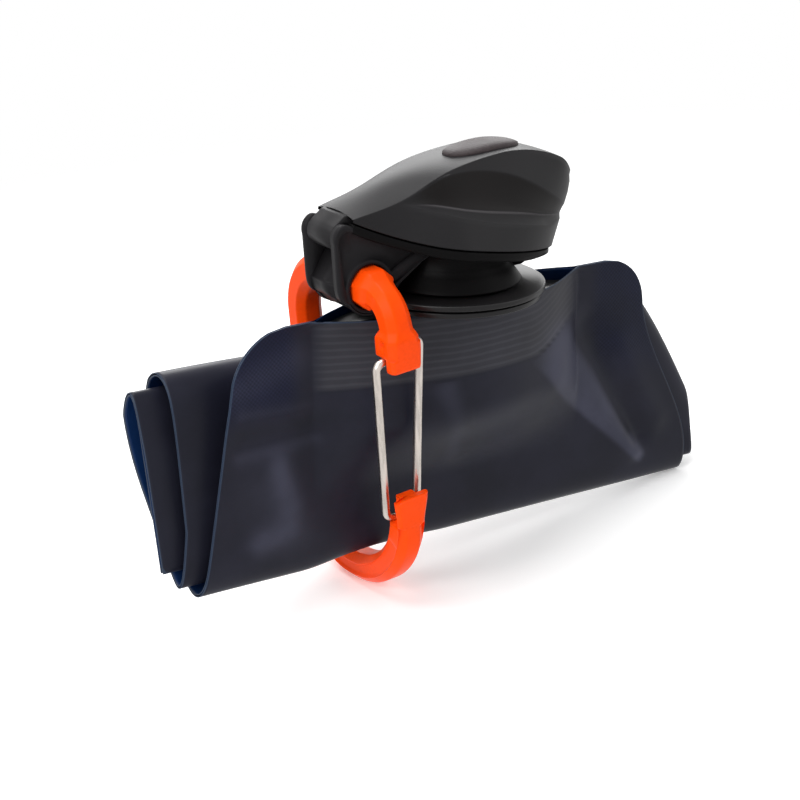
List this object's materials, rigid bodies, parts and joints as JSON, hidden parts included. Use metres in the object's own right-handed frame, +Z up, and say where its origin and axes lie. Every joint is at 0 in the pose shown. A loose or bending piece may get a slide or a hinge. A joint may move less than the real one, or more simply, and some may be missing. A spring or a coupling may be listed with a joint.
{
  "type": "collapsible water bottle",
  "caption": "Emptied film water bottle with a hinged drinking cap, rolled up and held closed by a wire-gate carabiner clipped through its cap.",
  "frame": {"origin": "centre of the whole object's footprint, on the floor", "axes": "+X along the roll towards its free right end, +Y from the front panel to the back of the roll, +Z up"},
  "size_m": [0.1568, 0.0498, 0.1043],
  "materials": {
    "outer_film": "semi-gloss charcoal navy film",
    "inner_film": "glossy deep blue film",
    "gusset_film": "glossy deep blue film",
    "fitment_black": "satin black moulding",
    "gasket_silicone": "matte silicone",
    "cap_black": "fine-grained charcoal moulding",
    "nozzle_grey": "satin grey moulding",
    "lid_grey": "fine-grained charcoal moulding",
    "pin_steel": "ground steel",
    "plug_silicone": "matte silicone",
    "pad_rubber": "matte brown-black rubber",
    "clip_orange": "semi-gloss bright orange moulding",
    "wire_steel": "drawn stainless wire"
  },
  "bodies": {
    "pouch": {"front_film": "outer_film", "back_film": "inner_film", "bottom_gusset": "gusset_film", "spout_fitment": "fitment_black"},
    "cap": {"cap_base": "cap_black", "neck_gasket": "gasket_silicone", "drink_nozzle": "nozzle_grey", "hinge_pin": "pin_steel"},
    "lid": {"lid_shell": "lid_grey", "thumb_pad": "pad_rubber", "plug_seal": "plug_silicone"},
    "carabiner": {"carabiner_body": "clip_orange"},
    "gate": {"wire_gate": "wire_steel"}
  },
  "joints": [
    {"name": "cap_twist", "type": "hinge", "parent": "pouch", "child": "cap", "pos_m": [0.0025, -0.00245, 0.07259], "axis": [0.1022, 0, 0.9948], "range_deg": [-1, 1]},
    {"name": "lid_hinge", "type": "hinge", "parent": "cap", "child": "lid", "pos_m": [-0.0285, -0.00245, 0.09186], "axis": [0, -1, 0], "range_deg": [0, 125]},
    {"name": "carabiner_swing", "type": "hinge", "parent": "cap", "child": "carabiner", "pos_m": [-0.02394, -0.00245, 0.07943], "axis": [0, 1, 0], "range_deg": [-2.5, 2.5]},
    {"name": "gate_hinge", "type": "hinge", "parent": "carabiner", "child": "gate", "pos_m": [-0.02394, -0.01889, 0.06723], "axis": [1, 0, 0], "range_deg": [0, 7], "stiffness_Nm_per_rad": 0.02, "springref_deg": -17.19}
  ]
}
